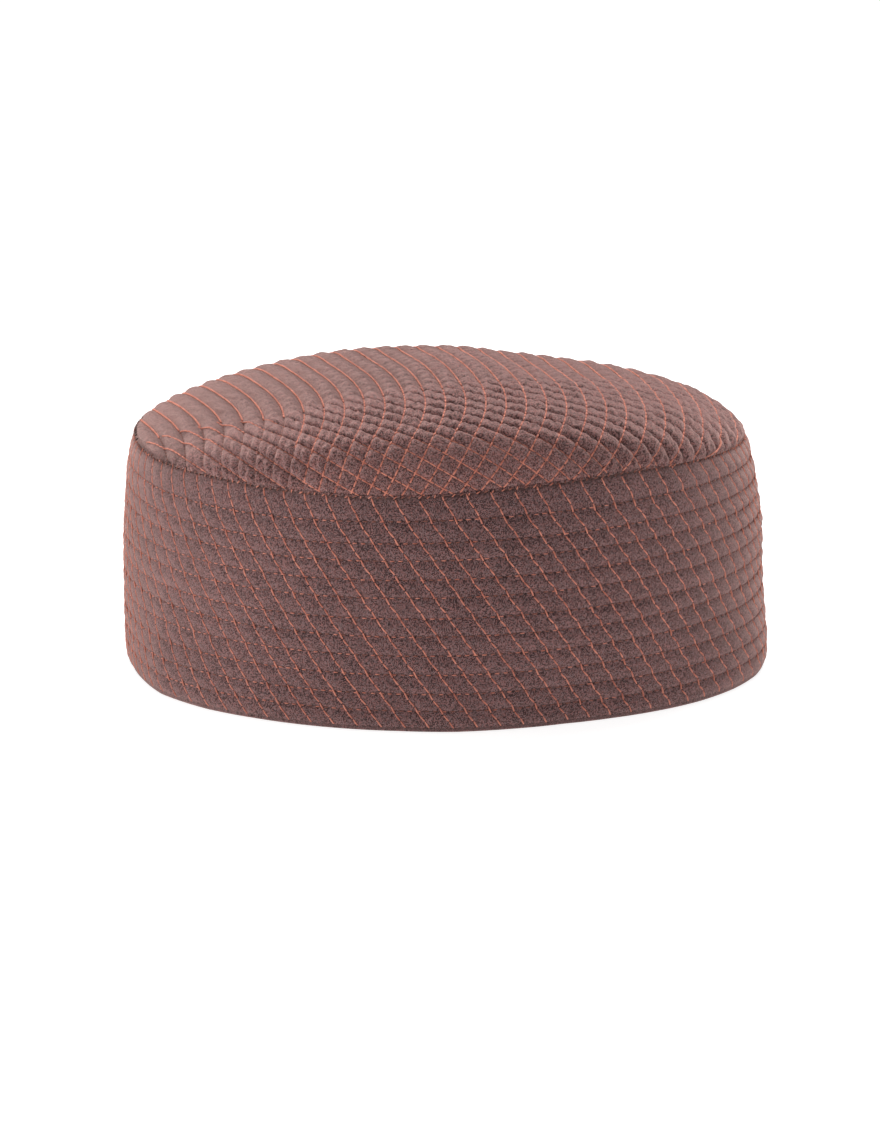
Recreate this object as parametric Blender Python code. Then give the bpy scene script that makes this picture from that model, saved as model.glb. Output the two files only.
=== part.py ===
"""Round quilted cap: a ribbed side band and a domed crown panel, both hollow padded cloth.

Metres, +Z up. The cap rests on its hem at Z = 0, open side down, front towards -Y.
"""
import math

import bmesh
import bpy

for old in list(bpy.data.objects):
    bpy.data.objects.remove(old, do_unlink=True)

# Sizes of the whole cap
CAP_WIDTH = 0.1906
BAND_HEIGHT = 0.0660
CROWN_RISE = 0.0257

# Cloth thickness and the gap left between the two sewn pieces
BAND_WALL = 0.0030
CROWN_WALL = 0.0028
SEAM_GAP = 0.0003

# Quilted channels round the band: how many, how far each one swells
CHANNELS = 12
CHANNEL_SWELL = 0.0008

# The seam isn't level: it dips left of the front and climbs right of it
SEAM_SWAY = 0.0020

# Crown sections: share of the radius, then height as a share of the rise on each side
CROWN_SECTIONS = [
    {"out": 0.000, "front": 0.969, "left": 0.969, "right": 0.969, "back": 0.969},
    {"out": 0.100, "front": 0.988, "left": 0.965, "right": 0.945, "back": 0.920},
    {"out": 0.200, "front": 1.000, "left": 0.945, "right": 0.890, "back": 0.810},
    {"out": 0.300, "front": 0.996, "left": 0.905, "right": 0.828, "back": 0.720},
    {"out": 0.450, "front": 0.965, "left": 0.808, "right": 0.738, "back": 0.595},
    {"out": 0.600, "front": 0.903, "left": 0.665, "right": 0.642, "back": 0.475},
    {"out": 0.750, "front": 0.813, "left": 0.485, "right": 0.485, "back": 0.352},
    {"out": 0.850, "front": 0.732, "left": 0.345, "right": 0.345, "back": 0.264},
    {"out": 0.920, "front": 0.650, "left": 0.215, "right": 0.210, "back": 0.190},
    {"out": 0.960, "front": 0.537, "left": 0.125, "right": 0.120, "back": 0.132},
    {"out": 0.985, "front": 0.374, "left": 0.055, "right": 0.050, "back": 0.073},
    {"out": 1.000, "front": 0.000, "left": 0.000, "right": 0.000, "back": 0.000},
]

# How finely the round pieces are faceted
TURNS = 64

# Outer side of the band: share of the band's height, share of half the cap's width
BAND_SIDE = [
    {"up": 0.00, "out": 0.9890},
    {"up": 0.12, "out": 0.9925},
    {"up": 0.30, "out": 0.9940},
    {"up": 0.55, "out": 0.9935},
    {"up": 0.70, "out": 0.9870},
    {"up": 0.85, "out": 0.9800},
    {"up": 0.94, "out": 0.9720},
    {"up": 1.00, "out": 0.9600},
]

# Round of the hem's fold: share of the wall inwards, share of the wall upwards
HEM_FOLD = [
    {"in": 0.05, "up": 0.16},
    {"in": 0.20, "up": 0.00},
    {"in": 0.80, "up": 0.00},
    {"in": 0.97, "up": 0.20},
]

# Swell across one channel: share of the channel's height, share of the swell
SWELL = [
    {"up": 0.00, "out": 0.00},
    {"up": 0.22, "out": 0.78},
    {"up": 0.50, "out": 1.00},
    {"up": 0.78, "out": 0.78},
]

HALF_WIDTH = CAP_WIDTH / 2.0
SEAM_RADIUS = HALF_WIDTH * BAND_SIDE[-1]["out"]


def read_table(rows, across, value):
    """Smoothly read the table's out column at a share of its up column."""
    for low, high in zip(rows[:-1], rows[1:]):
        if value <= high[across]:
            share = (value - low[across]) / (high[across] - low[across])
            return low["out"] + (high["out"] - low["out"]) * share
    return rows[-1]["out"]


def cloth(name, color, roughness):
    """Plain cloth material for one piece."""
    material = bpy.data.materials.new(name)
    material.use_nodes = True
    shader = material.node_tree.nodes["Principled BSDF"]
    shader.inputs["Base Color"].default_value = color
    shader.inputs["Roughness"].default_value = roughness
    return material


def spun(name, profile, material):
    """Turn a profile of (radius, height) points about Z into a named object."""
    mesh = bpy.data.meshes.new(name)
    work = bmesh.new()
    points = [work.verts.new((radius, 0.0, height)) for radius, height in profile]
    edges = [work.edges.new(pair) for pair in zip(points[:-1], points[1:])]
    bmesh.ops.spin(
        work,
        geom=points + edges,
        cent=(0.0, 0.0, 0.0),
        axis=(0.0, 0.0, 1.0),
        angle=2.0 * math.pi,
        steps=TURNS,
        use_merge=True,
    )
    bmesh.ops.remove_doubles(work, verts=work.verts, dist=0.00002)
    bmesh.ops.recalc_face_normals(work, faces=work.faces)
    work.to_mesh(mesh)
    work.free()
    piece = bpy.data.objects.new(name, mesh)
    bpy.context.scene.collection.objects.link(piece)
    mesh.materials.append(material)
    for face in mesh.polygons:
        face.use_smooth = True
    return piece


def sway(across, depth):
    """Height of the seam above its level at one bearing of the cap."""
    radius = math.hypot(across, depth)
    if radius < 0.0001:
        return 0.0
    return SEAM_SWAY * 2.0 * (across / radius) * (-depth / radius)


def band_profile():
    """Closed outline of the band's wall: up the ribbed outside, down the plain inside."""
    outside = []
    for channel in range(CHANNELS):
        for row in SWELL:
            up = (channel + row["up"]) / CHANNELS
            radius = HALF_WIDTH * read_table(BAND_SIDE, "up", up) + CHANNEL_SWELL * row["out"]
            outside.append((radius, BAND_HEIGHT * up))
    outside[0] = (outside[0][0], BAND_WALL * 0.35)
    outside.append((SEAM_RADIUS, BAND_HEIGHT))
    inside = []
    for step in range(10, -1, -1):
        up = step / 10.0
        radius = HALF_WIDTH * read_table(BAND_SIDE, "up", up) - BAND_WALL
        inside.append((radius, max(BAND_HEIGHT * up, BAND_WALL * 0.5)))
    hem = []
    hem_radius = HALF_WIDTH * BAND_SIDE[0]["out"]
    for row in reversed(HEM_FOLD):
        hem.append((hem_radius - BAND_WALL * row["in"], BAND_WALL * row["up"]))
    loop = outside + inside + hem
    loop.append(loop[0])
    return loop


def crown_height(row, across, depth):
    """Height of the crown's outer side above the seam, from one section row and a bearing."""
    radius = max(math.hypot(across, depth), 0.000001)
    front = max(-depth / radius, 0.0) ** 2
    back = max(depth / radius, 0.0) ** 2
    side = 1.0 - front - back
    right = 0.5 + 0.5 * across / radius
    flank = row["left"] + (row["right"] - row["left"]) * right
    return CROWN_RISE * (row["front"] * front + flank * side + row["back"] * back)


# Side band: one strip of padded cloth, quilted in level channels and folded at the hem
band_cloth = cloth("band_cloth", (0.125, 0.075, 0.075, 1.0), 0.9)
side_band = spun("side_band", band_profile(), band_cloth)
for point in side_band.data.vertices:
    rise = max(point.co.z / BAND_HEIGHT, 0.0)
    point.co.z += sway(point.co.x, point.co.y) * rise

# Crown panel: one round of padded cloth, domed, steep at the front and sloping to the back
crown_cloth = cloth("crown_cloth", (0.14, 0.085, 0.085, 1.0), 0.9)
upper = [(SEAM_RADIUS * row["out"], 1.0) for row in CROWN_SECTIONS]
under = [(radius, -1.0) for radius, level in reversed(upper)]
crown_panel = spun("crown_panel", upper + under, crown_cloth)
thin = 1.0 - CROWN_WALL / SEAM_RADIUS
low = 1.0 - CROWN_WALL / CROWN_RISE
for point in crown_panel.data.vertices:
    share = math.hypot(point.co.x, point.co.y) / SEAM_RADIUS
    section = min(CROWN_SECTIONS, key=lambda row: abs(row["out"] - share))
    rise = crown_height(section, point.co.x, point.co.y)
    base = BAND_HEIGHT + SEAM_GAP + sway(point.co.x, point.co.y) * share ** 2
    if point.co.z < 0.0:
        point.co = (point.co.x * thin, point.co.y * thin, base + rise * low)
    else:
        point.co.z = base + rise

for piece in (side_band, crown_panel):
    piece.data.update()
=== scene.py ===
import math

import bmesh
import bpy
import numpy as np
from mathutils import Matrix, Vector


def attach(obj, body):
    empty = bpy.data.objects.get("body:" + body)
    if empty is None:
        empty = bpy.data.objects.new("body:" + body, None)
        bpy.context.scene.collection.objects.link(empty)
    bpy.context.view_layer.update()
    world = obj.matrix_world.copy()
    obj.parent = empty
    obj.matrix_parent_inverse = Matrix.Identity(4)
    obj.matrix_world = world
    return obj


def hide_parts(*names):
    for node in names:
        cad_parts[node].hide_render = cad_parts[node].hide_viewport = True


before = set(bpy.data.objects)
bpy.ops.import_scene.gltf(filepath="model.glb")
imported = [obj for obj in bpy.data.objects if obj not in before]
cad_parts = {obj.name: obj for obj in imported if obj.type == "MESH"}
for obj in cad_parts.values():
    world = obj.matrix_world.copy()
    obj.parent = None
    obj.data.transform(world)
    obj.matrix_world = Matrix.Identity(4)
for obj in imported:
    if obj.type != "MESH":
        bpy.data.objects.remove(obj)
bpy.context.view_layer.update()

# Table top, lamps and camera
# A plain white table top in a white room. One broad soft lamp hangs above and
# behind, another stands to the left, and the camera looks down on the cap a little.
ROOM_LIGHT = 0.38
LAMP_AIM = (0.0, 0.0, 0.05)
TABLE_SIZE = 16.0
TABLE_DROP = 0.0002
scene = bpy.context.scene
scene.view_settings.view_transform = "Standard"
room = bpy.data.worlds.new("white_room")
room.use_nodes = True
room.node_tree.nodes["Background"].inputs["Color"].default_value = (1.0, 1.0, 1.0, 1.0)
room.node_tree.nodes["Background"].inputs["Strength"].default_value = ROOM_LIGHT
scene.world = room


def deselect_all():
    """Leave nothing selected, so that an operator acts on its own piece alone."""
    for piece in bpy.context.selected_objects:
        piece.select_set(False)


def lamp(name, place, width, power, color):
    """Hang one square soft lamp that looks at the middle of the cap."""
    deselect_all()
    bpy.ops.object.light_add(type="AREA", location=place)
    light = bpy.context.object
    light.name = name
    light.data.shape = "SQUARE"
    light.data.size = width
    light.data.energy = power
    light.data.color = color
    light.rotation_mode = "QUATERNION"
    light.rotation_quaternion = (Vector(LAMP_AIM) - Vector(place)).to_track_quat("-Z", "Y")


lamp("overhead_lamp", (0.07, 0.62, 1.15), 0.85, 25.0, (1.0, 0.98, 0.96))
lamp("left_lamp", (-1.14, -0.11, 0.14), 0.50, 7.7, (1.0, 0.97, 0.95))

deselect_all()
bpy.ops.mesh.primitive_plane_add(size=TABLE_SIZE, location=(0.0, 0.0, -TABLE_DROP))
table_top = bpy.context.object
table_top.name = "table_top"
bpy.ops.object.transform_apply(location=True, rotation=True, scale=True)
laminate = bpy.data.materials.new("white_laminate")
laminate.use_nodes = True
for input_name, value in (
    ("Base Color", (0.45, 0.45, 0.45, 1.0)),
    ("Emission Color", (1.0, 1.0, 1.0, 1.0)),
    ("Emission Strength", 0.85),
    ("Roughness", 0.9),
    ("Specular IOR Level", 0.1),
):
    laminate.node_tree.nodes["Principled BSDF"].inputs[input_name].default_value = value
table_top.data.materials.append(laminate)

CAMERA_PITCH = math.radians(12.9)
CAMERA_DISTANCE = 1.30
TARGET_HEIGHT = 0.040
SENSOR_WIDTH = 36.0
FOCAL_LENGTH = 138.9
bpy.ops.object.camera_add(
    location=(
        0.0,
        -CAMERA_DISTANCE * math.cos(CAMERA_PITCH),
        TARGET_HEIGHT + CAMERA_DISTANCE * math.sin(CAMERA_PITCH),
    ),
    rotation=(math.pi / 2.0 - CAMERA_PITCH, 0.0, 0.0),
)
camera = bpy.context.object
camera.name = "front_camera"
camera.data.sensor_width = SENSOR_WIDTH
camera.data.lens = FOCAL_LENGTH
camera.data.shift_x = -0.0022
camera.data.shift_y = -0.0412
camera.data.clip_start = 0.05
camera.data.clip_end = 50.0
scene.camera = camera

# Crown panel
# One round of mauve-brown woven cloth over wadding, quilted in two crossing
# sets of lines that curve over the dome, and sewn to the top of the band.
FULL_TURN = 2.0 * math.pi
HALF_WIDTH = 0.0953
BAND_HEIGHT = 0.0660
SEAM_RADIUS = 0.96 * HALF_WIDTH
SEAM_SWAY = 0.0020
SEAM_TUCK = 0.0020
TUCK_BEARING = math.radians(97.0)
CROWN_RISE = 0.0257
SEAM_GAP = 0.0003
CROWN_FOOT = BAND_HEIGHT + SEAM_GAP
CROWN_WALL = 0.0028

# Share of the radius, then height as a share of the rise at front, left, right and
# back. The heights come from a search against the photo's outline, then adjusted.
CROWN_SECTIONS = np.array(
    [
        (0.000, 0.969, 0.969, 0.969, 0.969),
        (0.100, 0.988, 0.965, 0.945, 0.920),
        (0.200, 1.000, 0.945, 0.890, 0.810),
        (0.300, 0.996, 0.905, 0.828, 0.720),
        (0.450, 0.965, 0.808, 0.738, 0.595),
        (0.600, 0.903, 0.665, 0.642, 0.475),
        (0.750, 0.813, 0.485, 0.485, 0.352),
        (0.850, 0.732, 0.345, 0.345, 0.264),
        (0.920, 0.650, 0.215, 0.210, 0.190),
        (0.960, 0.537, 0.125, 0.120, 0.132),
        (0.985, 0.374, 0.055, 0.050, 0.073),
        (1.000, 0.000, 0.000, 0.000, 0.000),
    ]
)
RIM_STEEPNESS = 1.6

# Index of the quilting line at each place of the flat round of cloth, as powers
# of the place's two coordinates in decimetres: whole numbers are stitched lines.
# The weights were fitted by a program to points measured on the photo's lines and
# to a guessed direction and spacing at the hidden back.
LONG_LINES = {
    (0, 0): 13.13, (0, 1): 3.76, (0, 2): -2.78, (0, 3): -2.41, (0, 4): 3.77,
    (1, 0): 16.37, (1, 1): -2.46, (1, 2): 1.32, (1, 3): 3.43, (2, 0): -2.70,
    (2, 1): -1.26, (2, 2): 4.40, (3, 0): -0.50, (3, 1): 0.94, (4, 0): 1.07,
}
CROSS_LINES = {
    (0, 0): 21.72, (0, 1): 12.76, (0, 2): -3.18, (0, 3): 0.87, (0, 4): 0.32,
    (1, 0): 11.17, (1, 1): -5.10, (1, 2): -2.24, (1, 3): 2.90, (2, 0): -17.77,
    (2, 1): -0.34, (2, 2): 8.91, (3, 0): 2.84, (3, 1): 3.25, (4, 0): 9.27,
}
LONG_RANGE = (-5, 28)
CROSS_RANGE = (-6, 35)
CELL_STEPS = 11


def eased(value, places, heights, last_slope=0.0):
    """Read a smooth curve through a table, with no overshoot between its rows."""
    gaps = np.diff(places)
    slopes = np.diff(heights) / gaps
    tangents = np.zeros(len(places))
    for row in range(1, len(places) - 1):
        before, after = slopes[row - 1], slopes[row]
        if before * after > 0.0:
            weight_before = 2.0 * gaps[row] + gaps[row - 1]
            weight_after = gaps[row] + 2.0 * gaps[row - 1]
            tangents[row] = (weight_before + weight_after) / (weight_before / before + weight_after / after)
    tangents[-1] = slopes[-1] * last_slope
    row = np.clip(np.searchsorted(places, value, "right") - 1, 0, len(places) - 2)
    share = (value - places[row]) / gaps[row]
    return (
        (1 + 2 * share) * (1 - share) ** 2 * heights[row]
        + share * (1 - share) ** 2 * gaps[row] * tangents[row]
        + share ** 2 * (3 - 2 * share) * heights[row + 1]
        + share ** 2 * (share - 1) * gaps[row] * tangents[row + 1]
    )


def dome_height(share, bearing):
    """Height of the smooth dome above its foot; bearings run from the front to the right."""
    front = np.clip(np.cos(bearing), 0.0, None) ** 2
    back = np.clip(-np.cos(bearing), 0.0, None) ** 2
    side = 1.0 - front - back
    right = 0.5 + 0.5 * np.sin(bearing)
    out = CROWN_SECTIONS[:, 0]
    columns = [eased(share, out, CROWN_SECTIONS[:, column], RIM_STEEPNESS) for column in range(1, 5)]
    flank = columns[1] + (columns[2] - columns[1]) * right
    return CROWN_RISE * (columns[0] * front + flank * side + columns[3] * back)


def sway(bearing):
    """Height of the seam above its level at a bearing."""
    return SEAM_SWAY * np.sin(2.0 * bearing)


def tuck(bearing):
    """How far the seam leans inwards at a bearing: the cap is a little slack at its upper right."""
    return SEAM_TUCK * np.clip(np.cos(bearing - TUCK_BEARING), 0.0, None) ** 2


# Height of the stitched seam above the foot of the dome: bearing in degrees, millimetres
SEAM_LIFTS = np.array(
    [
        (-180.0, 0.0), (-110.0, 0.0), (-95.0, 0.4), (-80.0, 1.2), (-61.0, 2.2), (-44.0, 2.8),
        (-33.0, 2.1), (-22.0, 1.6), (-11.0, 0.9), (0.0, 1.0), (8.0, 1.7), (22.0, 2.1), (35.0, 2.3),
        (54.0, 1.1), (72.0, 0.4), (95.0, 0.0), (180.0, 0.0),
    ]
)


def read_round(table, bearing):
    """Read a table of degrees and millimetres at a bearing, in metres."""
    degrees = (np.degrees(bearing) + 180.0) % 360.0 - 180.0
    return np.interp(degrees, table[:, 0], table[:, 1]) / 1000.0


# The soft dome sinks a little at its left shoulder and at the back, and stands full at its right one
SLUMP_BEARING = 0.10
RIGHT_FULLNESS = 0.0060
LEFT_SINKING = 0.0040
LEFT_RIM_SINKING = 0.0024
BACK_SINKING = 0.0006


def bulge(share, power):
    """Nothing at the centre and at the rim, with a rise between that lies further out for a high power."""
    return share ** power * (1.0 - share ** power)


def slump(share, bearing):
    """How far the soft dome stands above its smooth shape at a place."""
    left = np.clip(-np.sin(bearing + SLUMP_BEARING), 0.0, None) ** 2
    right = np.clip(np.sin(bearing + SLUMP_BEARING), 0.0, None) ** 2
    sunk = LEFT_SINKING * bulge(share, 3) + LEFT_RIM_SINKING * bulge(share, 8)
    sunk_back = BACK_SINKING * np.clip(-np.cos(bearing), 0.0, None) * bulge(share, 2)
    return RIGHT_FULLNESS * bulge(share, 6) * right - sunk * left - sunk_back


# Share of the radius at equal steps of cloth length, for a fan of bearings
FAN = np.linspace(0.0, FULL_TURN, 97)
FAN_SHARES = np.concatenate([np.linspace(0.0, 0.9, 91), np.linspace(0.9, 1.0, 61)[1:]])
FAN_STEPS = 400
fan_rim = np.zeros(len(FAN))
fan_table = np.zeros((len(FAN), FAN_STEPS + 1))
fan_trim = np.zeros(len(FAN))
for spoke, spoke_bearing in enumerate(FAN):
    heights = dome_height(FAN_SHARES, np.full(len(FAN_SHARES), spoke_bearing))
    spans = np.hypot(np.diff(FAN_SHARES) * SEAM_RADIUS, np.diff(heights))
    lengths = np.concatenate([[0.0], np.cumsum(spans)])
    fan_rim[spoke] = lengths[-1]
    fan_table[spoke] = np.interp(np.linspace(0.0, lengths[-1], FAN_STEPS + 1), lengths, FAN_SHARES)
    flank_steps = FAN_SHARES > 0.5
    fan_trim[spoke] = np.interp(
        read_round(SEAM_LIFTS, spoke_bearing),
        heights[flank_steps][::-1],
        lengths[flank_steps][::-1] / lengths[-1],
    )


def bearing_of(across, depth):
    """Bearing of a place of the flat cloth, from none to a full turn."""
    return np.arctan2(across, -depth) % FULL_TURN


def round_point(radius, bearing, height):
    """Points at a radius, a bearing and a height of the cap."""
    return np.stack([radius * np.sin(bearing), -radius * np.cos(bearing), height], axis=-1)


def rim_share(across, depth):
    """How far a place of the flat cloth is from the centre, as a share of the way to the rim."""
    return np.hypot(across, depth) / 10.0 / np.interp(bearing_of(across, depth), FAN, fan_rim)


def dome_point(across, depth):
    """Place on the smooth dome of a place of the flat cloth, given in decimetres."""
    bearing = bearing_of(across, depth)
    reach = np.clip(rim_share(across, depth), 0.0, 1.0)
    spoke = bearing / FULL_TURN * (len(FAN) - 1)
    low_spoke = np.clip(spoke.astype(int), 0, len(FAN) - 2)
    turn = spoke - low_spoke
    step = reach * FAN_STEPS
    low_step = np.clip(step.astype(int), 0, FAN_STEPS - 1)
    part = step - low_step
    near = fan_table[low_spoke, low_step] * (1 - part) + fan_table[low_spoke, low_step + 1] * part
    far = fan_table[low_spoke + 1, low_step] * (1 - part) + fan_table[low_spoke + 1, low_step + 1] * part
    share = near * (1 - turn) + far * turn
    height = CROWN_FOOT + dome_height(share, bearing) + sway(bearing) * share ** 2 + slump(share, bearing)
    return round_point(SEAM_RADIUS * share - tuck(bearing) * share ** 3, bearing, height)


def line_index(lines, across, depth):
    """Index of the quilting line at a place of the flat cloth."""
    return sum(weight * across ** i * depth ** j for (i, j), weight in lines.items())


def line_slopes(lines, across, depth):
    """How that index changes along each of the two coordinates."""
    terms = lines.items()
    along_x = sum(weight * i * across ** (i - 1) * depth ** j for (i, j), weight in terms if i)
    along_y = sum(weight * j * across ** i * depth ** (j - 1) for (i, j), weight in terms if j)
    return along_x, along_y


# Search for a crossing: rounds, least area of a cell, longest step, bounds of the place, largest miss
SEARCH_ROUNDS = 40
LEAST_AREA = 30.0
LONGEST_STEP = 0.15
GUESS_LIMIT = 1.15
PLACE_LIMIT = 1.4
LARGEST_MISS = 0.001


def cubic_terms(a, b):
    """Products of two values up to the third power, as columns."""
    squares = [a * a, a * b, b * b]
    return np.stack([np.ones_like(a), a, b, *squares, a ** 3, a * a * b, a * b * b, b ** 3], axis=1)


def flat_place(long_index, cross_index):
    """Place of the flat cloth where two quilting lines of given index cross."""
    ring, bearing = np.meshgrid(np.linspace(0.0, 1.05, 60), np.linspace(0.0, FULL_TURN, 400))
    across, depth = (ring * np.sin(bearing)).ravel(), (-ring * np.cos(bearing)).ravel()
    known = cubic_terms(line_index(LONG_LINES, across, depth), line_index(CROSS_LINES, across, depth))
    guess = cubic_terms(long_index, cross_index)
    across, depth = (
        np.clip(guess @ np.linalg.lstsq(known, value, rcond=None)[0], -GUESS_LIMIT, GUESS_LIMIT)
        for value in (across, depth)
    )
    for _ in range(SEARCH_ROUNDS):
        miss_long = line_index(LONG_LINES, across, depth) - long_index
        miss_cross = line_index(CROSS_LINES, across, depth) - cross_index
        long_x, long_y = line_slopes(LONG_LINES, across, depth)
        cross_x, cross_y = line_slopes(CROSS_LINES, across, depth)
        area = long_x * cross_y - long_y * cross_x
        area = np.where(np.abs(area) < LEAST_AREA, LEAST_AREA, area)
        step_x = (miss_long * cross_y - miss_cross * long_y) / area
        step_y = (miss_cross * long_x - miss_long * cross_x) / area
        brake = np.maximum(1.0, np.hypot(step_x, step_y) / LONGEST_STEP)
        across = np.clip(across - step_x / brake, -PLACE_LIMIT, PLACE_LIMIT)
        depth = np.clip(depth - step_y / brake, -PLACE_LIMIT, PLACE_LIMIT)
    miss_long = line_index(LONG_LINES, across, depth) - long_index
    miss_cross = line_index(CROSS_LINES, across, depth) - cross_index
    return across, depth, np.hypot(miss_long, miss_cross) < LARGEST_MISS


def pillow(index, fullness):
    """Padding between two stitched lines: nothing on a line, one in the middle."""
    offset = np.abs(2.0 * (index - np.floor(index)) - 1.0)
    return np.clip(1.0 - offset ** fullness, 0.0, 1.0) ** 0.8


def ramp(value, start, end):
    """Smooth step from nothing at start to one at end."""
    share = np.clip((value - start) / (end - start), 0.0, 1.0)
    return share * share * (3.0 - 2.0 * share)


def ripple(x, y, seed):
    """Soft uneven swell between minus one and one, made of a few crossed waves."""
    draw = np.random.default_rng(seed)
    total = np.zeros_like(x)
    for _ in range(9):
        angle, phase = draw.uniform(0.0, FULL_TURN, 2)
        pace = draw.uniform(0.6, 1.8)
        total += np.sin(FULL_TURN * pace * (x * math.cos(angle) + y * math.sin(angle)) + phase)
    return total / 4.5


def facing(points):
    """Outward normal at each point of a sheet laid out in rows and columns."""
    normal = np.cross(np.gradient(points, axis=0), np.gradient(points, axis=1))
    return normal / np.maximum(np.linalg.norm(normal, axis=-1, keepdims=True), 1e-12)


EDGE_MARGIN = 0.0020
long_steps = (LONG_RANGE[1] - LONG_RANGE[0]) * CELL_STEPS
cross_steps = (CROSS_RANGE[1] - CROSS_RANGE[0]) * CELL_STEPS
long_index, cross_index = np.meshgrid(
    LONG_RANGE[0] + np.arange(long_steps + 1) / CELL_STEPS,
    CROSS_RANGE[0] + np.arange(cross_steps + 1) / CELL_STEPS,
    indexing="ij",
)
across, depth, found = flat_place(long_index.ravel(), cross_index.ravel())
across, depth = across.reshape(long_index.shape), depth.reshape(long_index.shape)
reach = rim_share(across, depth)
trim = np.interp(bearing_of(across, depth), FAN, fan_trim)
on_cloth = found.reshape(long_index.shape) & (reach < trim - EDGE_MARGIN)
crown_base = dome_point(across.ravel(), depth.ravel()).reshape(long_index.shape + (3,))

# Where the rows of puffs end and the long channels start: two coordinates on the flat cloth
CHANNEL_STARTS = np.array(
    [
        (-0.10, -0.62), (0.00, -0.60), (0.13, -0.54), (0.29, -0.45), (0.41, -0.35), (0.52, -0.17),
        (0.62, 0.00), (0.75, 0.25), (0.90, 0.50),
    ]
)

# The wadding is fullest where the dome turns over at the front, flat at the rim
# and drawn into long channels towards the back
PUFF_HEIGHT = 0.00145
FRONT_FLATTER = 0.00060
BACK_FLATTER = 0.00050
RIGHT_FLATTER = 0.00022
RIBS_PER_DECIMETRE = 22.0
crown_out = facing(crown_base)
crown_out *= np.sign(np.sum(crown_out[on_cloth] * (0.0, 0.0, 1.0)))
front_wall = ramp(-depth, 0.82, 0.96)
long_channels = ramp(depth - np.interp(across, CHANNEL_STARTS[:, 0], CHANNEL_STARTS[:, 1]), 0.0, 0.12)
back_slope = ramp(depth, -0.30, 0.10)
fullness = PUFF_HEIGHT - FRONT_FLATTER * front_wall - BACK_FLATTER * back_slope
fullness -= RIGHT_FLATTER * ramp(across, 0.10, 0.50) * (1.0 - back_slope)
fullness *= 1.0 + 0.16 * ripple(long_index * 0.9, cross_index * 0.9, 5)
over_long = pillow(long_index, 1.9)
over_cross = pillow(cross_index, 3.2)
drift = 0.10 * ripple(long_index * 1.3, cross_index * 1.3, 8)
lobes = pillow(2.0 * (long_index + drift * over_long), 1.7)
joined = 0.22 + 0.22 * ramp(across, -0.25, 0.25)
puffs = over_cross * (joined + (0.50 - joined) * over_long + 0.50 * lobes)
wall = (0.45 + 0.55 * over_cross) * (0.45 + 0.55 * over_long)
puffs = puffs + (wall - puffs) * front_wall
ribs = pillow(RIBS_PER_DECIMETRE * depth - 2.0 * across + drift, 1.8)
rib_depth = 0.26 + 0.14 * ramp(depth, -0.40, -0.05) * ramp(-across, -0.10, 0.30)
channels = pillow(long_index, 1.7) * (1.0 - rib_depth + rib_depth * ribs)
tone = puffs * (1.0 - long_channels) + channels * long_channels
tone += 1.2 * drift * np.sqrt(over_long * over_cross)
padding = tone * (1.0 - ramp(reach - trim, -0.013, -0.001))
crown_skin = crown_base + crown_out * (fullness * padding)[..., None]


def woven_sheet(name, points, keep):
    """A grid primitive whose corners are moved onto a sheet of points; what isn't kept is cut off."""
    rows, columns = points.shape[:2]
    deselect_all()
    bpy.ops.mesh.primitive_grid_add(x_subdivisions=rows - 1, y_subdivisions=columns - 1, size=2.0)
    sheet = bpy.context.object
    sheet.name = name
    sheet.data.name = name
    flat = np.zeros(len(sheet.data.vertices) * 3)
    sheet.data.vertices.foreach_get("co", flat)
    flat = flat.reshape(-1, 3)
    row = np.rint((flat[:, 0] + 1.0) / 2.0 * (rows - 1)).astype(int)
    column = np.rint((flat[:, 1] + 1.0) / 2.0 * (columns - 1)).astype(int)
    sheet.data.vertices.foreach_set("co", points[row, column].ravel())
    sheet.data.uv_layers.remove(sheet.data.uv_layers[0])
    return sheet, row, column, keep[row, column]


def lay_map(sheet, name, row, column, first, second):
    """Give a sheet a UV map from two values known at each of its points."""
    layer = sheet.data.uv_layers.new(name=name)
    corner = np.zeros(len(sheet.data.loops), int)
    sheet.data.loops.foreach_get("vertex_index", corner)
    values = np.stack([first[row, column][corner], second[row, column][corner]], axis=1)
    layer.data.foreach_set("uv", values.ravel())


def lay_value(sheet, name, row, column, values):
    """Give a sheet a value at each of its points, for its material to read."""
    store = sheet.data.attributes.new(name=name, type="FLOAT", domain="POINT")
    store.data.foreach_set("value", values[row, column])


def cut_away(sheet, drop):
    """Delete the points of a sheet that are marked."""
    bpy.ops.object.mode_set(mode="EDIT")
    bpy.ops.mesh.select_all(action="DESELECT")
    bpy.ops.object.mode_set(mode="OBJECT")
    sheet.data.vertices.foreach_set("select", drop)
    bpy.ops.object.mode_set(mode="EDIT")
    bpy.ops.mesh.select_mode(type="VERT")
    bpy.ops.mesh.delete(type="VERT")
    bpy.ops.object.mode_set(mode="OBJECT")


def stitch_count(points, axis, pitch, valid, closed):
    """How many stitches lie between a point and the start of its line."""
    span = np.linalg.norm(np.diff(points, axis=axis), axis=-1)
    both = (valid[1:] & valid[:-1]) if axis == 0 else (valid[:, 1:] & valid[:, :-1])
    count = np.cumsum(np.where(both, span, 0.0), axis=axis)
    start = np.zeros_like(np.take(count, [0], axis=axis))
    count = np.concatenate([start, count], axis=axis) / pitch
    if closed:
        total = np.take(count, [-1], axis=axis)
        count = count / total * np.rint(total)
    return count


CROWN_PITCH = 0.0022
long_stitches = stitch_count(crown_skin, 1, CROWN_PITCH, on_cloth, False)
cross_stitches = stitch_count(crown_skin, 0, CROWN_PITCH, on_cloth, False)

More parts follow.
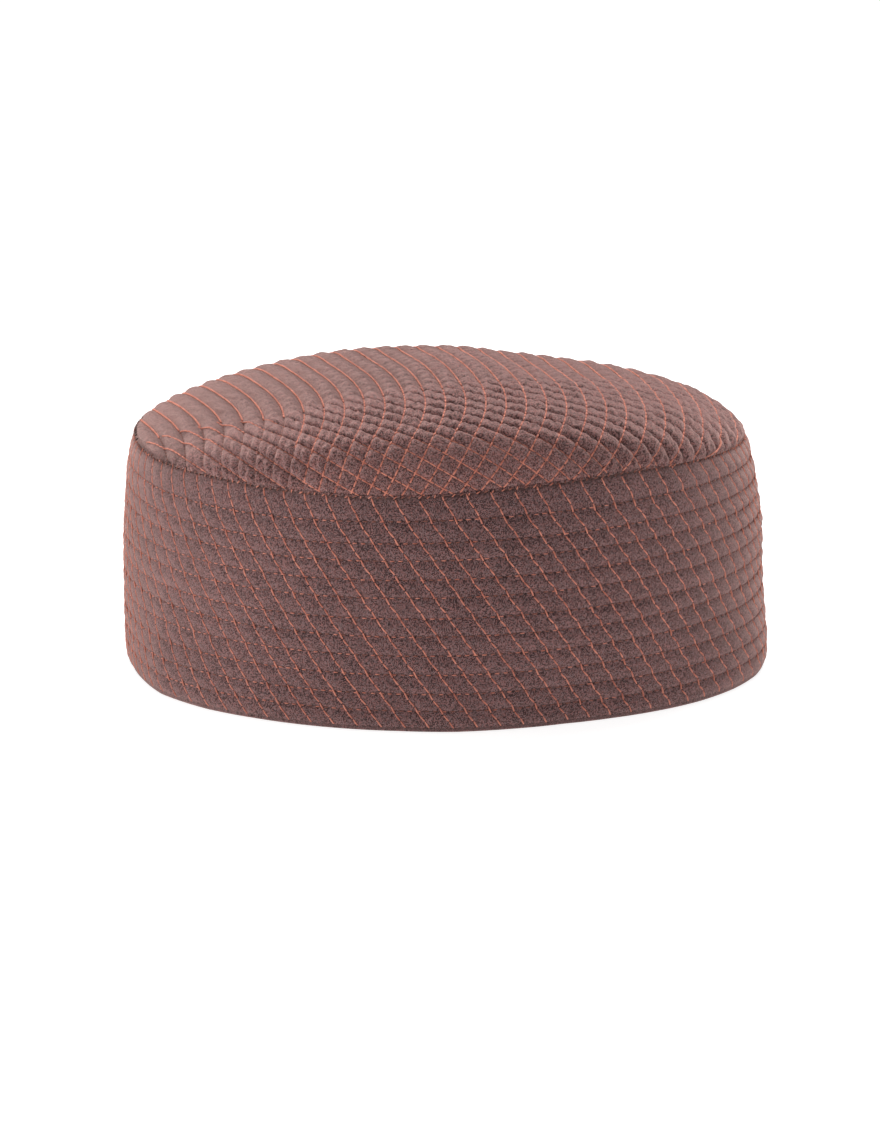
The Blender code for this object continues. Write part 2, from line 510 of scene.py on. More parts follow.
crown, crown_row, crown_column, kept = woven_sheet("crown_cloth_panel", crown_skin, on_cloth)
lay_map(crown, "weave", crown_row, crown_column, across / 10.0, depth / 10.0)
lay_map(crown, "long_stitches", crown_row, crown_column, long_stitches, long_index)
lay_map(crown, "cross_stitches", crown_row, crown_column, cross_stitches, cross_index)

# Painted shade: the hollows between the ribs of the long channels are darkened, and the channels at the left
# are darkened as a whole
RIB_HOLLOW_SHADE = 0.80
LEFT_CHANNEL_SHADE = 0.84
padding_with_painted_shade = tone - RIB_HOLLOW_SHADE * long_channels * (1.0 - ribs)
padding_with_painted_shade *= 1.0 - LEFT_CHANNEL_SHADE * long_channels * ramp(-across, -0.30, 0.20)
# The padding with its painted shade is kept on the crown for its material to darken the valleys between the
# puffs
lay_value(crown, "padding", crown_row, crown_column, padding_with_painted_shade)
cut_away(crown, ~kept)


def ordered_rim(work):
    """The points of a sheet's open edge, in order round it."""
    links = {}
    for edge in work.edges:
        if edge.is_boundary:
            for one, other in (edge.verts, reversed(edge.verts)):
                links.setdefault(one, []).append(other)
    first = next(iter(links))
    loop, last = [first], None
    while True:
        ahead = [point for point in links[loop[-1]] if point is not last]
        last = loop[-1]
        if not ahead or ahead[0] is first:
            return loop
        loop.append(ahead[0])


def open_edges(piece):
    """Go into edit mode with the open edges of a piece selected alone."""
    bpy.ops.object.mode_set(mode="EDIT")
    bpy.ops.mesh.select_mode(type="EDGE")
    bpy.ops.mesh.select_all(action="DESELECT")
    bpy.ops.mesh.select_non_manifold(extend=False)
    return bmesh.from_edit_mesh(piece.data)


# How many points to each side the bearings along the rim are averaged over
RIM_BLUR = 12


def grow_rim(piece, sections):
    """Extrude the open edge of a round sheet through rings of (radius, height) at each bearing."""
    work = open_edges(piece)
    loop = ordered_rim(work)
    turns = np.unwrap([math.atan2(point.co.x, -point.co.y) for point in loop])
    if turns[-1] < turns[0]:
        loop.reverse()
        turns = np.unwrap([math.atan2(point.co.x, -point.co.y) for point in loop])
    padded = np.concatenate([turns[-RIM_BLUR:] - FULL_TURN, turns, turns[:RIM_BLUR] + FULL_TURN])
    even = np.convolve(padded, np.ones(2 * RIM_BLUR + 1) / (2.0 * RIM_BLUR + 1.0), "valid")
    even = np.maximum.accumulate(even)
    known = {point.index: even[row] for row, point in enumerate(loop)}
    for section in sections:
        work.verts.index_update()
        bpy.ops.mesh.extrude_edges_indiv()
        work = bmesh.from_edit_mesh(piece.data)
        fresh = {}
        for point in work.verts:
            if point.select:
                ends = [edge.other_vert(point) for edge in point.link_edges]
                fresh[point] = known.get(next(end for end in ends if not end.select).index, 0.0)
        work.verts.index_update()
        known = {point.index: turn for point, turn in fresh.items()}
        for point, turn in fresh.items():
            radius, height = section(turn)
            point.co = (radius * math.sin(turn), -radius * math.cos(turn), height)
        bmesh.update_edit_mesh(piece.data)
    bpy.ops.mesh.merge(type="CENTER")
    bpy.ops.object.mode_set(mode="OBJECT")
    return len(loop)


# How far the edges stand out at the seam
SEAM_FLUSH = 0.0005
LIP_LEAST = 0.0001
LIP_AT_LEFT = 0.0005


def flush(bearing):
    """How far both edges of the seam are let out at the front, where the seam hardly shows."""
    return SEAM_FLUSH * np.clip(np.cos(bearing), 0.0, None) ** 2


def lip(bearing):
    """How far the crown's edge stands out: a loose fold at the left, flush with the padding at the front."""
    return LIP_LEAST + LIP_AT_LEFT * np.clip(-np.sin(bearing), 0.0, None) ** 2 + flush(bearing)


def seam_place(bearing):
    """Radius and height of the seam at a bearing."""
    rim = np.interp(bearing % FULL_TURN, FAN, fan_rim * fan_trim) * 10.0
    point = dome_point(rim * np.sin(bearing), -rim * np.cos(bearing))
    return np.hypot(point[..., 0], point[..., 1]), point[..., 2]


def crown_edge(inward, upward):
    """One ring of the crown's turned-in edge."""

    def ring(turn):
        radius, height = seam_place(np.array([turn]))
        return float(radius[0] + lip(turn)) - inward, float(height[0]) + upward

    return ring


def crown_under(share):
    """One ring of the crown's underside."""
    thin = 1.0 - CROWN_WALL / SEAM_RADIUS
    low = 1.0 - CROWN_WALL / CROWN_RISE

    def ring(turn):
        rise = float(dome_height(np.array([share]), np.array([turn]))[0]) + float(slump(share, turn))
        height = CROWN_FOOT + rise * low + float(sway(turn)) * share ** 2
        return (SEAM_RADIUS * share - float(tuck(turn)) * share ** 3) * thin, height

    return ring


def lay_grown_maps(piece, sheet_points, place, around):
    """Carry the weave on over the faces grown from a sheet's edge; they have no quilting on them."""
    weave = piece.data.uv_layers["weave"].data
    others = [layer.data for layer in piece.data.uv_layers if layer.name != "weave"]
    for face in piece.data.polygons:
        if max(face.vertices) < sheet_points:
            continue
        guide = None
        for corner in face.loop_indices:
            point = piece.data.loops[corner].vertex_index
            if point >= sheet_points or weave[corner].uv.length == 0.0:
                first, second = place(point, piece.data.vertices[point].co)
                if around and guide is not None:
                    first += around * round((guide - first) / around)
                weave[corner].uv = (first, second)
                for other in others:
                    other[corner].uv = (0.5, 0.5)
            guide = weave[corner].uv[0]


sheet_points = len(crown.data.vertices)
EDGE_RINGS = 3
EDGE_TURN_IN = 0.0007
rim_points = grow_rim(
    crown,
    [crown_edge(0.0, 0.0), crown_edge(EDGE_TURN_IN, 0.0001), crown_edge(0.0018, 0.0004)]
    + [crown_under(share) for share in (0.955, 0.92, 0.85, 0.75, 0.60, 0.45, 0.30, 0.15, 0.04)],
)


def crown_weave(point, co):
    """Place on the flat cloth of a point of the crown's edge or underside."""
    bearing = math.atan2(co.x, -co.y)
    ring = (point - sheet_points) // rim_points
    radius = math.hypot(co.x, co.y)
    if ring < EDGE_RINGS:
        radius = float(np.interp(bearing % FULL_TURN, FAN, fan_rim * fan_trim)) + EDGE_TURN_IN * ring
    return radius * math.sin(bearing), -radius * math.cos(bearing)


lay_grown_maps(crown, sheet_points, crown_weave, 0.0)


def close_piece(piece):
    """Merge doubled points, turn every face outwards and shade it smooth."""
    deselect_all()
    piece.select_set(True)
    bpy.context.view_layer.objects.active = piece
    bpy.ops.object.mode_set(mode="EDIT")
    bpy.ops.mesh.select_mode(type="VERT")
    bpy.ops.mesh.select_all(action="SELECT")
    bpy.ops.mesh.remove_doubles(threshold=0.00002)
    bpy.ops.mesh.select_all(action="SELECT")
    bpy.ops.mesh.normals_make_consistent(inside=False)
    bpy.ops.object.mode_set(mode="OBJECT")
    bpy.ops.object.shade_smooth()


close_piece(crown)


class Shader:
    """A short way of wiring one node material."""

    def __init__(self, name):
        self.material = bpy.data.materials.new(name)
        self.material.use_nodes = True
        self.nodes = self.material.node_tree.nodes
        self.links = self.material.node_tree.links
        self.surface = self.nodes["Principled BSDF"]

    def put(self, kind, settings=(), **inputs):
        """Add a node; a tuple or a number sets an input, a socket is wired to it."""
        node = self.nodes.new(kind)
        for name, value in dict(settings).items():
            setattr(node, name, value)
        self.feed(node, **inputs)
        return node

    def feed(self, node, **inputs):
        """Set inputs of a node, each named in words or as i and its number."""
        for name, value in inputs.items():
            numbered = name[0] == "i" and name[1:].isdigit()
            socket = node.inputs[int(name[1:]) if numbered else name.replace("_", " ")]
            if isinstance(value, bpy.types.NodeSocket):
                self.links.new(value, socket)
            else:
                socket.default_value = value

    def combine(self, operation, first, second=0.0):
        """One step of arithmetic on sockets or numbers."""
        return self.put("ShaderNodeMath", {"operation": operation}, i0=first, i1=second).outputs[0]

    def plus(self, first, second):
        """Add two values."""
        return self.combine("ADD", first, second)

    def less(self, first, second):
        """Take the second value from the first."""
        return self.combine("SUBTRACT", first, second)

    def times(self, first, second):
        """Multiply two values."""
        return self.combine("MULTIPLY", first, second)

    def mix(self, factor, first, second, blend="MIX"):
        """Mix two colours by a factor."""
        settings = {"data_type": "RGBA", "blend_type": blend}
        return self.put("ShaderNodeMix", settings, i0=factor, i6=first, i7=second).outputs[2]

    def uv(self, name):
        """One of the piece's own maps."""
        return self.put("ShaderNodeUVMap", {"uv_map": name}).outputs[0]

    def noise(self, place, scale, detail, roughness=0.5):
        """Soft irregular pattern of a given scale."""
        node = self.put("ShaderNodeTexNoise", Vector=place, Scale=scale, Detail=detail, Roughness=roughness)
        return node.outputs["Fac"]

    def specks(self, place, dimensions):
        """A value drawn anew at each place."""
        node = self.put("ShaderNodeTexWhiteNoise", {"noise_dimensions": dimensions}, Vector=place)
        return node.outputs["Value"]

    def threads(self, place, direction):
        """Evenly spaced ridges, one for each thread."""
        settings = {"wave_type": "BANDS", "bands_direction": direction}
        node = self.put("ShaderNodeTexWave", settings, Vector=place, Scale=WAVE_PERIOD / THREAD_STEP)
        return node.outputs["Fac"]

    def smooth(self, value, low, high, start=0.0, end=1.0):
        """Smooth change from start to end as a value goes from low to high."""
        node = self.put(
            "ShaderNodeMapRange", {"interpolation_type": "SMOOTHSTEP"},
            Value=value, From_Min=low, From_Max=high, To_Min=start, To_Max=end,
        )
        return node.outputs[0]


# Spacing of the cloth's own threads, and period of a wave pattern at a scale of one
THREAD_STEP = 0.00028
WAVE_PERIOD = 0.314


def needle_dots(shader, uv_name, across_cell, along_cell, size):
    """Dots where the needle went through, one at each end of a stitch on a line, for painted shade in the
    holes and a dent in the bump.
    """
    parts = shader.put("ShaderNodeSeparateXYZ", i0=shader.uv(uv_name))
    along = shader.combine("FRACT", shader.plus(parts.outputs[0], 0.5))
    along = shader.times(shader.less(along, 0.5), along_cell)
    aside = shader.combine("FRACT", shader.plus(parts.outputs[1], 0.5))
    aside = shader.times(shader.less(aside, 0.5), across_cell)
    away = shader.combine("SQRT", shader.plus(shader.times(along, along), shader.times(aside, aside)))
    return shader.smooth(away, size * 0.35, size, 1.0, 0.0)


def quilted_cloth(name, dark, light, dots, deepest_painted_shade):
    """Woven melange cloth: thread crossings of mixed tone, a plain weave's relief and soft fuzz, with painted
    shade in the valleys of the padding and at the needle holes.
    """
    shader = Shader(name)
    weave = shader.uv("weave")
    body = shader.put("ShaderNodeTexCoord").outputs["Object"]
    cell = (THREAD_STEP, THREAD_STEP, 1.0)
    crossing = shader.put("ShaderNodeVectorMath", {"operation": "SNAP"}, i0=weave, i1=cell).outputs[0]
    fleck = shader.specks(crossing, "2D")
    slub = shader.noise(weave, 5000.0, 1.0, 0.6)
    patch = shader.noise(body, 42.0, 4.0, 0.6)
    grain = shader.plus(shader.times(fleck, 0.62), shader.times(slub, 0.58))
    grain = shader.plus(grain, shader.times(shader.less(patch, 0.5), 0.22))
    redder = [channel * share for channel, share in zip(light, (1.14, 0.90, 0.86, 1.0))]
    greyer = [channel * share for channel, share in zip(light, (0.88, 1.08, 1.12, 1.0))]
    mixed_light = shader.mix(shader.specks(crossing, "3D"), redder, greyer)
    color = shader.mix(shader.smooth(grain, 0.18, 0.98), dark, mixed_light)
    hole = 0.0
    for uv_name, across_cell, along_cell, size in dots:
        hole = shader.combine("MAXIMUM", hole, needle_dots(shader, uv_name, across_cell, along_cell, size))
    # Painted shade: the colour is darkened where the padding sinks into the valleys between puffs, channels
    # and rows.
    padding_for_shade = shader.put("ShaderNodeAttribute", {"attribute_name": "padding"}).outputs["Fac"]
    painted_shade = shader.smooth(padding_for_shade, -0.02, 0.30, deepest_painted_shade, 1.0)
    # Painted shade in the needle holes.
    painted_shade = shader.times(painted_shade, shader.less(1.0, shader.times(hole, 0.55)))
    painted_shade_tint = shader.put("ShaderNodeCombineColor", i0=painted_shade, i1=painted_shade, i2=painted_shade).outputs[0]
    relief = shader.times(shader.plus(shader.threads(weave, "X"), shader.threads(weave, "Y")), 0.35)
    relief = shader.plus(relief, shader.times(slub, 0.9))
    relief = shader.plus(relief, shader.times(fleck, 0.12))
    relief = shader.less(relief, shader.times(hole, 2.5))
    bump = shader.put("ShaderNodeBump", Strength=0.42, Distance=0.00022, Height=relief)
    shader.feed(
        shader.surface,
        Base_Color=shader.mix(1.0, color, painted_shade_tint, "MULTIPLY"),
        Normal=bump.outputs[0],
        Roughness=0.92,
        Specular_IOR_Level=0.18,
        Sheen_Weight=0.60,
        Sheen_Roughness=0.45,
        Sheen_Tint=(1.0, 0.67, 0.61, 1.0),
    )
    return shader.material


# The crown's colours are set lighter than the band's, though it is the same cloth: painted light on the top
# of the cap.
crown.data.materials.clear()
crown.data.materials.append(
    quilted_cloth(
        "crown_quilted_cloth",
        (0.022, 0.010, 0.011, 1.0),
        (0.310, 0.162, 0.153, 1.0),
        [("long_stitches", 0.0056, CROWN_PITCH, 0.00045), ("cross_stitches", 0.0050, CROWN_PITCH, 0.00045)],
        0.58,
    )
)
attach(crown, "root")
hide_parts("crown_panel")

# Side band
# One strip of the same cloth over wadding, closed into a ring and folded at the
# hem. Level rows of stitching part it into channels, slanted rows cross them.
BAND_WALL = 0.0030
SLANTS = 87
SLANT_RISE = math.radians(55.5)
SLANT_LEAN = 1.0 / math.tan(SLANT_RISE)
SLANT_STEPS = 8
CHANNEL_STEPS = 8
CHANNEL_SWELL = 0.0008
SLANT_PITCH = 0.0026
ROW_PITCH = 0.0024
BAND_INSET = 0.0001
LEAN_START = 0.040
SPREAD_START = 0.002
SPREAD_END = 0.030
BAND_STEEPNESS = 1.4

# Outer side of the band: share of its height, share of half the cap's width
BAND_SIDE = np.array(
    [
        (0.00, 0.9890),
        (0.12, 0.9925),
        (0.30, 0.9940),
        (0.55, 0.9935),
        (0.70, 0.9870),
        (0.85, 0.9800),
        (0.94, 0.9720),
        (1.00, 0.9600),
    ]
)

# Heights of the stitched rows, from the hem to the seam
ROW_LEVELS = np.array(
    [0.0012, 0.0062, 0.0112, 0.0168, 0.0224, 0.0279, 0.0331, 0.0390, 0.0441, 0.0495, 0.0544, 0.0606, 0.0660]
)
CHANNELS = len(ROW_LEVELS) - 1

# How far the soft hem spreads outwards: bearing in degrees, millimetres
HEM_SPREADS = np.array(
    [
        (-180.0, 0.0), (-75.0, 0.0), (-66.0, 1.2), (-57.0, 2.8), (-44.0, 2.3), (-34.0, 1.0),
        (-20.0, 0.0), (-8.0, -0.8), (2.0, -0.6), (12.0, -1.8), (22.0, -2.6), (31.0, -1.8),
        (40.0, -0.3), (50.0, 1.5), (61.0, 2.8), (71.0, 3.4), (81.0, 2.6), (90.0, 1.3),
        (101.0, 0.4), (116.0, 0.0), (180.0, 0.0),
    ]
)


def band_give(bearing, height):
    """How far the soft band stands out from its round: spread at the hem, leaning in near the seam."""
    spread = read_round(HEM_SPREADS, bearing) * (1.0 - ramp(height, SPREAD_START, SPREAD_END))
    return spread - tuck(bearing) * ramp(height, LEAN_START, BAND_HEIGHT)


slant_index, channel_index = np.meshgrid(
    np.arange(SLANTS * SLANT_STEPS + 1) / SLANT_STEPS,
    np.arange(CHANNELS * CHANNEL_STEPS + 1) / CHANNEL_STEPS,
    indexing="ij",
)
level = np.interp(channel_index, np.arange(CHANNELS + 1), ROW_LEVELS)
around = slant_index / SLANTS * FULL_TURN
turn = around + (BAND_HEIGHT - level) * SLANT_LEAN / HALF_WIDTH
turn += (0.0026 + 0.0034 * np.clip(np.sin(turn), 0.0, None)) * np.sin(FULL_TURN * channel_index)
side = eased(level / BAND_HEIGHT, BAND_SIDE[:, 0], BAND_SIDE[:, 1], BAND_STEEPNESS)
uneven = 1.0 + 0.22 * np.sin(around * 13.0 + channel_index * 1.7) * np.sin(around * 7.0 - channel_index * 2.3)
band_padding = pillow(channel_index, 2.2) * (0.55 + 0.45 * pillow(slant_index, 2.2))
band_padding *= uneven
swell = CHANNEL_SWELL * (0.85 + 0.15 * np.sin(turn))
radius = HALF_WIDTH * side + swell * band_padding - BAND_INSET + band_give(turn, level)
top_share = np.clip((level - ROW_LEVELS[-2]) / (ROW_LEVELS[-1] - ROW_LEVELS[-2]), 0.0, 1.0)
seam_radius, seam_height = seam_place(turn)
level = level + sway(turn) * level / BAND_HEIGHT
radius += (seam_radius - (SEAM_RADIUS - tuck(turn)) + flush(turn)) * top_share
level += (seam_height - BAND_INSET - (BAND_HEIGHT + sway(turn))) * top_share
band_skin = round_point(radius, turn, level)
whole = np.ones(level.shape, bool)
slant_stitches = stitch_count(band_skin, 1, SLANT_PITCH, whole, False)
row_stitches = stitch_count(band_skin, 0, ROW_PITCH, whole, True)

band, band_row, band_column, _ = woven_sheet("band_cloth_strip", band_skin, whole)
lay_map(band, "weave", band_row, band_column, turn * HALF_WIDTH, level)
lay_map(band, "slant_stitches", band_row, band_column, slant_stitches, slant_index)
lay_map(band, "row_stitches", band_row, band_column, row_stitches, channel_index)
# The band's padding is also kept for its material to paint shade into the valleys along its stitched lines.
lay_value(band, "padding", band_row, band_column, band_padding)
close_piece(band)


def grow_ring(piece, sections, start_height):
    """Extrude the lower open edge of a ring through (radius, height) sections, then bridge to the upper."""
    work = open_edges(piece)
    for edge in work.edges:
        if edge.select and max(point.co.z for point in edge.verts) > start_height:
            edge.select = False
    work.select_flush(False)
    bmesh.update_edit_mesh(piece.data)
    for radius, height in sections:
        bpy.ops.mesh.extrude_edges_indiv()
        work = bmesh.from_edit_mesh(piece.data)
        for point in work.verts:
            if point.select:
                bearing = math.atan2(point.co.x, -point.co.y)
                rise = height + float(sway(bearing)) * height / BAND_HEIGHT
                point.co = round_point(radius + float(band_give(bearing, height)), bearing, rise)
        bmesh.update_edit_mesh(piece.data)
    bpy.ops.mesh.select_all(action="DESELECT")
    bpy.ops.mesh.select_non_manifold(extend=False)
    bpy.ops.mesh.bridge_edge_loops()
    bpy.ops.object.mode_set(mode="OBJECT")


sheet_points = len(band.data.vertices)
hem_radius = HALF_WIDTH * BAND_SIDE[0, 1]

# Round of the hem's fold: millimetres inwards, millimetres up
HEM_FOLD = [(0.1, 0.6), (0.5, 0.1), (1.1, 0.0), (2.2, 0.0), (2.8, 0.5)]
hem_fold = [(hem_radius - inward / 1000.0, up / 1000.0) for inward, up in HEM_FOLD]
inner_wall = [
    (HALF_WIDTH * float(np.interp(share, BAND_SIDE[:, 0], BAND_SIDE[:, 1])) - BAND_WALL, BAND_HEIGHT * share)
    for share in (0.10, 0.25, 0.40, 0.55, 0.70, 0.85, 0.975)
]
grow_ring(band, hem_fold + inner_wall, BAND_HEIGHT / 2.0)


def band_weave(point, co):
    """Place on the flat strip of a point of the band's hem or inner side."""
    turn = math.atan2(co.x, -co.y) % FULL_TURN
    inset = hem_radius - math.hypot(co.x, co.y)
    return turn * HALF_WIDTH, -inset - co.z * min(max(inset / BAND_WALL, 0.0), 1.0)


lay_grown_maps(band, sheet_points, band_weave, FULL_TURN * HALF_WIDTH)
close_piece(band)
band.data.materials.clear()
band.data.materials.append(
    quilted_cloth(
        "band_quilted_cloth",
        (0.016, 0.008, 0.009, 1.0),
        (0.258, 0.141, 0.138, 1.0),
        [("slant_stitches", 0.0057, SLANT_PITCH, 0.00042), ("row_stitches", 0.0055, ROW_PITCH, 0.00050)],
        0.84,
    )
)
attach(band, "root")
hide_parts("side_band")

# Quilting thread
# Cotton thread, sewn along every line in running stitches of 2.2 to 2.6 mm. It is
# coral where it lies on the cloth; where it is sunk between the puffs, and in the
# band's rows towards the right, it is drawn brown, painted shade on the coral thread.
LONG_THREAD = 0.00028
CHANNEL_THREAD = 0.00033
CROSS_THREAD = 0.00024
SUNK_THREAD = 0.00016
SLANT_THREAD = 0.00025
ROW_THREAD = 0.00018
CHANNEL_LIFT = 0.00012
deselect_all()
bpy.ops.mesh.primitive_uv_sphere_add(segments=6, ring_count=4, radius=1.0)
stitch = bpy.context.object

# A stitch is a ball drawn out and arched: for each ring's height on the ball, in
# hundredths, the place along the stitch and how much wider the ring gets
BLUNT = 0.86 / 0.7071
STITCH_RINGS = {-100: (-1.0, 1.0), -71: (-0.88, BLUNT), 0: (0.0, 1.0), 71: (0.88, BLUNT), 100: (1.0, 1.0)}
for point in stitch.data.vertices:
    span, wide = STITCH_RINGS[round(point.co.z * 100)]
    point.co = (span, point.co.x * wide, point.co.y * wide + 0.50 * (1.0 - span * span) - 0.05)
stitch_points = np.array([point.co[:] for point in stitch.data.vertices])
stitch_faces = [list(face.vertices) for face in stitch.data.polygons]
bpy.data.objects.remove(stitch, do_unlink=True)


def cotton_thread(name, dark, light):
    """Matt twisted cotton thread, a little uneven in colour."""
    shader = Shader(name)
    body = shader.put("ShaderNodeTexCoord").outputs["Object"]
    fade = shader.noise(body, 260.0, 3.0)
    ply = shader.noise(body, 2600.0, 2.0)
    mixed = shader.plus(shader.times(fade, 0.8), shader.times(ply, 0.4))
    bump = shader.put("ShaderNodeBump", Strength=0.5, Distance=0.0001, Height=ply)
    shader.feed(
        shader.surface,
        Base_Color=shader.mix(shader.smooth(mixed, 0.30, 0.90), dark, light),
        Normal=bump.outputs[0],
        Roughness=0.75,
        Specular_IOR_Level=0.25,
        Sheen_Weight=0.15,
        Sheen_Tint=(1.0, 0.75, 0.65, 1.0),
    )
    return shader.material


def sew(name, starts, ends, ups, thickness, material, slot):
    """Copy the stitch from each start to its end, all as one piece."""
    alongs = (ends - starts) / 2.0
    ups = ups - alongs * (np.sum(ups * alongs, axis=1) / np.sum(alongs * alongs, axis=1))[:, None]
    ups /= np.linalg.norm(ups, axis=1, keepdims=True)
    asides = np.cross(ups, alongs / np.linalg.norm(alongs, axis=1, keepdims=True))
    points = (
        (starts + ends)[:, None, :] / 2.0
        + alongs[:, None, :] * stitch_points[None, :, 0:1]
        + asides[:, None, :] * stitch_points[None, :, 1:2] * thickness
        + ups[:, None, :] * stitch_points[None, :, 2:3] * thickness
    ).reshape(-1, 3)
    firsts = range(0, len(points), len(stitch_points))
    faces = [[first + corner for corner in face] for first in firsts for face in stitch_faces]
    mesh = bpy.data.meshes.new(name)
    mesh.from_pydata(points.tolist(), [], faces)
    mesh.materials.append(material)
    mesh.shade_smooth()
    piece = bpy.data.objects.new(name, mesh)
    scene.collection.objects.link(piece)
    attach(piece, "root")


def running_stitches(points, ups, counts, valid, fill, draw):
    """Ends of the stitches along one line, from the running stitch count of its points."""
    points, ups, counts = points[valid], ups[valid], counts[valid]
    if len(points) < 3:
        return []
    made = []
    for number in range(int(counts[0]) - 1, int(counts[-1]) + 1):
        half = fill * draw.uniform(0.94, 1.04) / 2.0
        middle = number + 0.5 + draw.uniform(-0.02, 0.02)
        places = np.clip((middle - half, middle + half), counts[0], counts[-1])
        if places[1] - places[0] < 0.3:
            continue
        middle = sum(places) / 2.0
        ends = []
        for place in places:
            spot = [np.interp(place, counts, points[:, axis]) for axis in range(3)]
            ends.append(np.array(spot) + draw.uniform(-0.00005, 0.00005, 3))
        up = np.array([np.interp(middle, counts, ups[:, axis]) for axis in range(3)])
        made.append((ends[0], ends[1], up))
    return made


def gather(made):
    """Starts, ends and normals of a list of stitches, as three arrays."""
    return [np.array([stitch_ends[part] for stitch_ends in made]) for part in range(3)]


coral = cotton_thread("coral_thread", (0.38, 0.110, 0.075, 1.0), (0.70, 0.270, 0.195, 1.0))
# The brown thread also stands for the coral thread in painted shade: sunk stitches and the band's rows
# towards the right are drawn in it; the seam sews with it too.
brown = cotton_thread("brown_and_shaded_thread", (0.12, 0.045, 0.038, 1.0), (0.34, 0.125, 0.090, 1.0))
draw = np.random.default_rng(11)

# Depth on the flat cloth in front of which the cross lines show on top
CROSS_SHOWS = np.array(
    [
        (-0.90, -0.25), (-0.75, -0.32), (-0.60, -0.45), (-0.40, -0.62), (-0.26, -0.75), (0.0, -0.80),
        (0.40, -0.80), (0.60, -0.73), (0.80, -0.62),
    ]
)
LONG_SINKS_LEFT_OF = -0.42
in_front = depth < np.interp(across, CROSS_SHOWS[:, 0], CROSS_SHOWS[:, 1])
cross_on_top = on_cloth & in_front
cross_sunk = on_cloth & ~in_front & (long_channels < 0.5)
long_sunk = on_cloth & in_front & (across < LONG_SINKS_LEFT_OF)
long_on_top = on_cloth & ~long_sunk
long_made, channel_made, long_sunk_made, cross_made, cross_sunk_made = [], [], [], [], []
for row in range(0, long_steps + 1, CELL_STEPS):
    line = (crown_skin[row], crown_out[row], long_stitches[row])
    in_channel = long_channels[row] > 0.5
    long_made += running_stitches(*line, long_on_top[row] & ~in_channel, 0.96, draw)
    raised = crown_skin[row] + CHANNEL_LIFT * crown_out[row]
    channel_made += running_stitches(raised, *line[1:], long_on_top[row] & in_channel, 0.96, draw)
    long_sunk_made += running_stitches(*line, long_sunk[row], 0.60, draw)
for column in range(0, cross_steps + 1, CELL_STEPS):
    line = (crown_skin[:, column], crown_out[:, column], cross_stitches[:, column])
    cross_made += running_stitches(*line, cross_on_top[:, column], 0.95, draw)
    cross_sunk_made += running_stitches(*line, cross_sunk[:, column], 0.60, draw)
sew("crown_long_stitches", *gather(long_made), LONG_THREAD, coral, "crown_cloth")
sew("crown_channel_stitches", *gather(channel_made), CHANNEL_THREAD, coral, "crown_cloth")
sew("crown_cross_stitches", *gather(cross_made), CROSS_THREAD, coral, "crown_cloth")
# The sunk stitches are drawn in brown, painted shade on the coral thread.
sew("crown_sunk_stitches", *gather(long_sunk_made + cross_sunk_made), SUNK_THREAD, brown, "crown_cloth")

band_ups = facing(band_skin)
band_ups *= np.sign(np.sum(band_ups[..., 0] * band_skin[..., 0]))
slant_made, row_made, shaded_row_made = [], [], []
for row in range(0, SLANTS * SLANT_STEPS, SLANT_STEPS):
    slant_made += running_stitches(band_skin[row], band_ups[row], slant_stitches[row], whole[row], 0.95, draw)
for channel in range(1, CHANNELS):
    column = channel * CHANNEL_STEPS
    line = (band_skin[:, column], band_ups[:, column], row_stitches[:, column])
    for made in running_stitches(*line, whole[:, column], 0.55, draw):
        # Painted shade: a row stitch is drawn coral more often towards the left, where the lamp falls, and
        # brown towards the right.
        in_lamp_light = draw.uniform() < 0.45 - 4.5 * made[0][0]
        (row_made if in_lamp_light else shaded_row_made).append(made)
sew("band_slant_stitches", *gather(slant_made), SLANT_THREAD, coral, "band_cloth")
sew("band_row_stitches", *gather(row_made), ROW_THREAD, coral, "band_cloth")
sew("band_row_shaded_stitches", *gather(shaded_row_made), ROW_THREAD, brown, "band_cloth")

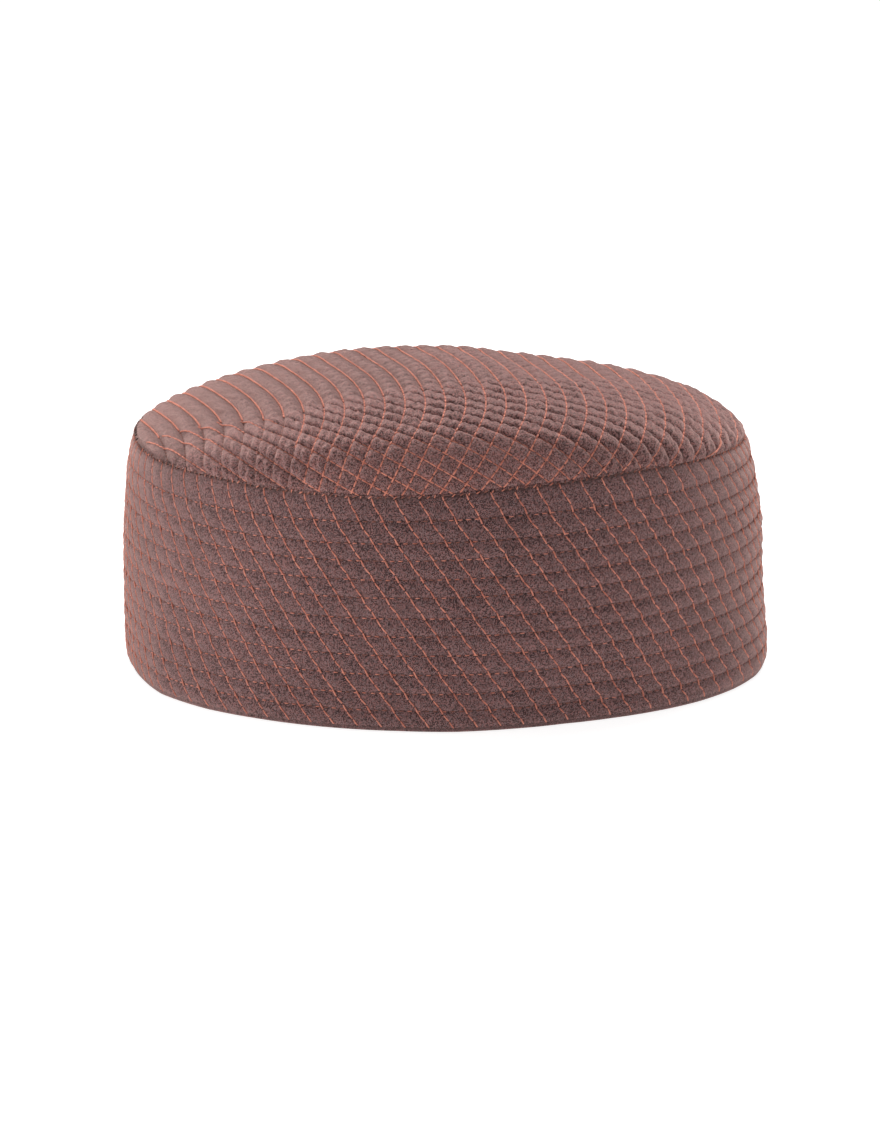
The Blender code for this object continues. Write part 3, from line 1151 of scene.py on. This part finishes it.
# Seam thread
# The crown's edge is sewn down to the top of the band in short stitches of brown
# and coral cotton that climb over the edge, every third one more upright.
SEAM_STITCHES = 250
SEAM_THREAD = 0.00019
CORAL_SHARE = 0.4
low_bearing = np.arange(SEAM_STITCHES) / SEAM_STITCHES * FULL_TURN
low_bearing += draw.uniform(-0.003, 0.003, SEAM_STITCHES)
high_bearing = low_bearing + np.where(np.arange(SEAM_STITCHES) % 3 == 0, 0.0035, 0.0120)
low_radius, low_height = seam_place(low_bearing)
high_radius, high_height = seam_place(high_bearing)
low_height -= draw.uniform(0.0003, 0.0008, SEAM_STITCHES)
high_height += draw.uniform(0.0001, 0.0006, SEAM_STITCHES)
starts = round_point(low_radius + lip(low_bearing) * 0.6, low_bearing, low_height)
ends = round_point(high_radius + lip(high_bearing), high_bearing, high_height)
out = round_point(1.0, low_bearing, np.zeros(SEAM_STITCHES))
is_coral = draw.uniform(size=SEAM_STITCHES) < CORAL_SHARE
for color_name, chosen, cotton in (("coral", is_coral, coral), ("brown", ~is_coral, brown)):
    stitches = (starts[chosen], ends[chosen], out[chosen])
    sew(f"seam_{color_name}_stitches", *stitches, SEAM_THREAD, cotton, "crown_cloth")

# Loose thread end
# One end of the coral thread has worked free near the right end of the seam and
# lies over the edge of the crown, held only where it comes out of the cloth.
TAIL_RADIUS = 0.00017
TAIL_ROUTE = [
    {"degrees": 56.0, "share": 0.990, "lift": -0.0001},
    {"degrees": 59.5, "share": 0.985, "lift": 0.0010},
    {"degrees": 62.5, "share": 0.970, "lift": 0.0012},
    {"degrees": 64.5, "share": 0.940, "lift": 0.0007},
]
deselect_all()
bpy.ops.curve.primitive_bezier_curve_add()
tail = bpy.context.object
tail.name = "loose_thread_end"
tail.data.bevel_depth = TAIL_RADIUS
tail.data.bevel_resolution = 2
tail.data.resolution_u = 8
tail.data.use_fill_caps = True
bend = tail.data.splines[0]
bend.bezier_points.add(2)
for point, stop in zip(bend.bezier_points, TAIL_ROUTE):
    stop_bearing = np.radians([stop["degrees"]])
    rim = np.interp(stop_bearing, FAN, fan_rim) * 10.0 * stop["share"]
    spot = dome_point(rim * np.sin(stop_bearing), -rim * np.cos(stop_bearing))
    point.co = (spot + round_point(1.0, stop_bearing, np.array([0.7])) * stop["lift"])[0]
    point.handle_left_type = point.handle_right_type = "AUTO"
bpy.ops.object.convert(target="MESH")
tail = bpy.context.object
tail.data.materials.clear()
tail.data.materials.append(coral)
close_piece(tail)
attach(tail, "root")
